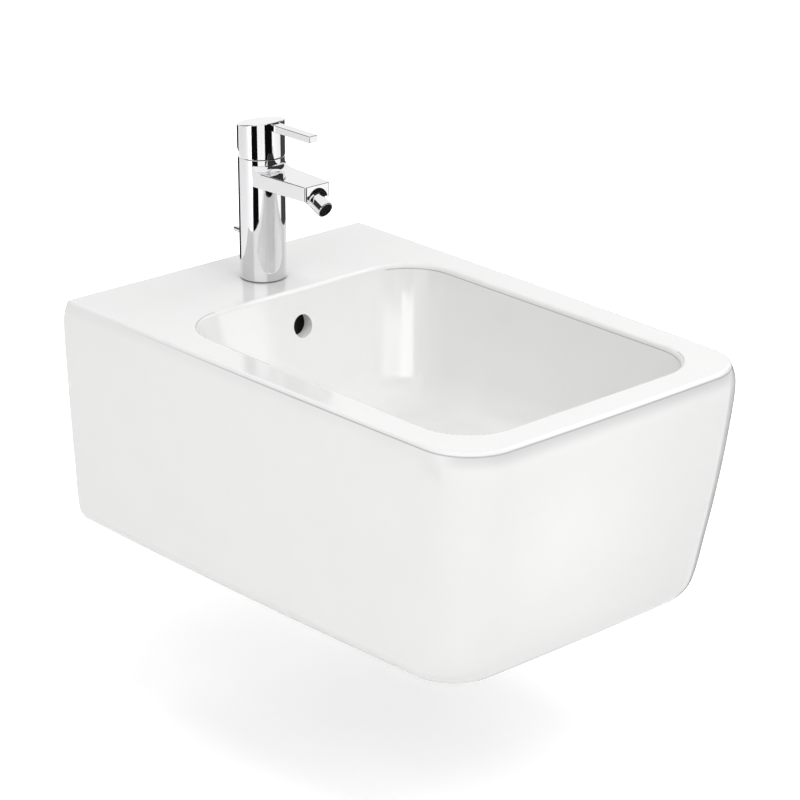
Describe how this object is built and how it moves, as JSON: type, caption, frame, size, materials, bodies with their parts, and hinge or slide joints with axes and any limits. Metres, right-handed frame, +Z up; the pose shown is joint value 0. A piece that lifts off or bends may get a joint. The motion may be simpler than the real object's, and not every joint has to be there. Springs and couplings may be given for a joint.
{
  "type": "wall-hung bidet",
  "caption": "White wall-hung bidet with an open bowl and overflow, a deck mixer with lever, swivel nozzle, and a pop-up waste worked by a knob.",
  "frame": {"origin": "midway between the two wall bolts, on the wall face", "axes": "+X to the viewer's right, +Y into the wall, +Z up; the front faces -Y"},
  "size_m": [0.3694, 0.54, 0.451],
  "materials": {
    "glaze": "gloss",
    "chrome": "polished",
    "brass": "machined",
    "steel": "satin",
    "rubber": "matte",
    "white_plastic": "matte",
    "black_plastic": "matte",
    "grey_plastic": "gloss",
    "disc": "lapped"
  },
  "bodies": {
    "fixed": {"ceramic_body": "glaze", "wall_sleeves": "white_plastic", "wall_washers": "steel", "wall_nuts": "steel", "mixer_body": "chrome", "base_seal": "rubber", "tap_stud": "brass", "crescent_rubber": "rubber", "crescent_plate": "steel", "tap_nut": "brass", "cartridge_base": "white_plastic", "port_seals": "rubber", "fixed_disc": "disc", "cartridge_housing": "white_plastic", "cartridge_nut": "brass", "cover_ring": "chrome", "nozzle_retainer": "black_plastic", "rod_guide": "white_plastic", "drain_flange": "chrome", "drain_seal": "rubber", "boss_gasket": "rubber", "slip_washer": "white_plastic", "lock_nut": "brass", "waste_body": "chrome", "tail_seal": "rubber", "waste_tail": "chrome", "pivot_nut": "chrome", "pivot_seals": "white_plastic"},
    "turner": {"rotor": "white_plastic", "pivot_pin": "steel"},
    "lever": {"stem": "brass", "handle": "chrome", "handle_screw": "steel", "handle_plug": "grey_plastic"},
    "slider": {"moving_disc": "disc", "disc_carrier": "white_plastic"},
    "nozzle_turner": {"nozzle_seat": "white_plastic"},
    "nozzle": {"nozzle_ball": "chrome", "nozzle_sleeve": "chrome", "aerator": "black_plastic", "aerator_seal": "rubber"},
    "lift": {"lift_rod": "brass", "lift_knob": "chrome", "rod_clamp": "brass", "clamp_screw": "steel"},
    "pivot": {"pivot_rod": "steel"},
    "plug": {"plug_cap": "chrome", "plug_seal": "rubber", "plug_stem": "brass"}
  },
  "joints": [
    {"name": "handle_turn", "type": "hinge", "parent": "fixed", "child": "turner", "pos_m": [0, -0.0675, 0.2], "axis": [0, 0, 1], "range_deg": [-45, 45]},
    {"name": "handle_lift", "type": "hinge", "parent": "turner", "child": "lever", "pos_m": [0, -0.0675, 0.203], "axis": [-1, 0, 0], "range_deg": [0, 25]},
    {"name": "disc_slide", "type": "slide", "parent": "turner", "child": "slider", "axis": [0, -1, 0], "range_m": [0, 0.00542]},
    {"name": "nozzle_turn", "type": "hinge", "parent": "fixed", "child": "nozzle_turner", "pos_m": [0, -0.13994, 0.18433], "axis": [0, -0.9063, -0.4226], "range_deg": [-90, 90]},
    {"name": "nozzle_tilt", "type": "hinge", "parent": "nozzle_turner", "child": "nozzle", "pos_m": [0, -0.13994, 0.18433], "axis": [1, 0, 0], "range_deg": [-10, 10]},
    {"name": "knob_lift", "type": "slide", "parent": "fixed", "child": "lift", "axis": [0, 0, 1], "range_m": [0, 0.026]},
    {"name": "pivot_swing", "type": "hinge", "parent": "fixed", "child": "pivot", "pos_m": [0, -0.202, -0.12], "axis": [1, 0, 0], "range_deg": [0, 10.11]},
    {"name": "plug_drop", "type": "slide", "parent": "fixed", "child": "plug", "axis": [0, 0, -1], "range_m": [0, 0.00532]}
  ],
  "couplings": [
    {"joint": "disc_slide", "follows": "handle_lift", "m_per_rad": 0.012401},
    {"joint": "pivot_swing", "follows": "knob_lift", "rad_per_m": 6.7851},
    {"joint": "plug_drop", "follows": "knob_lift", "ratio": 0.20408}
  ]
}
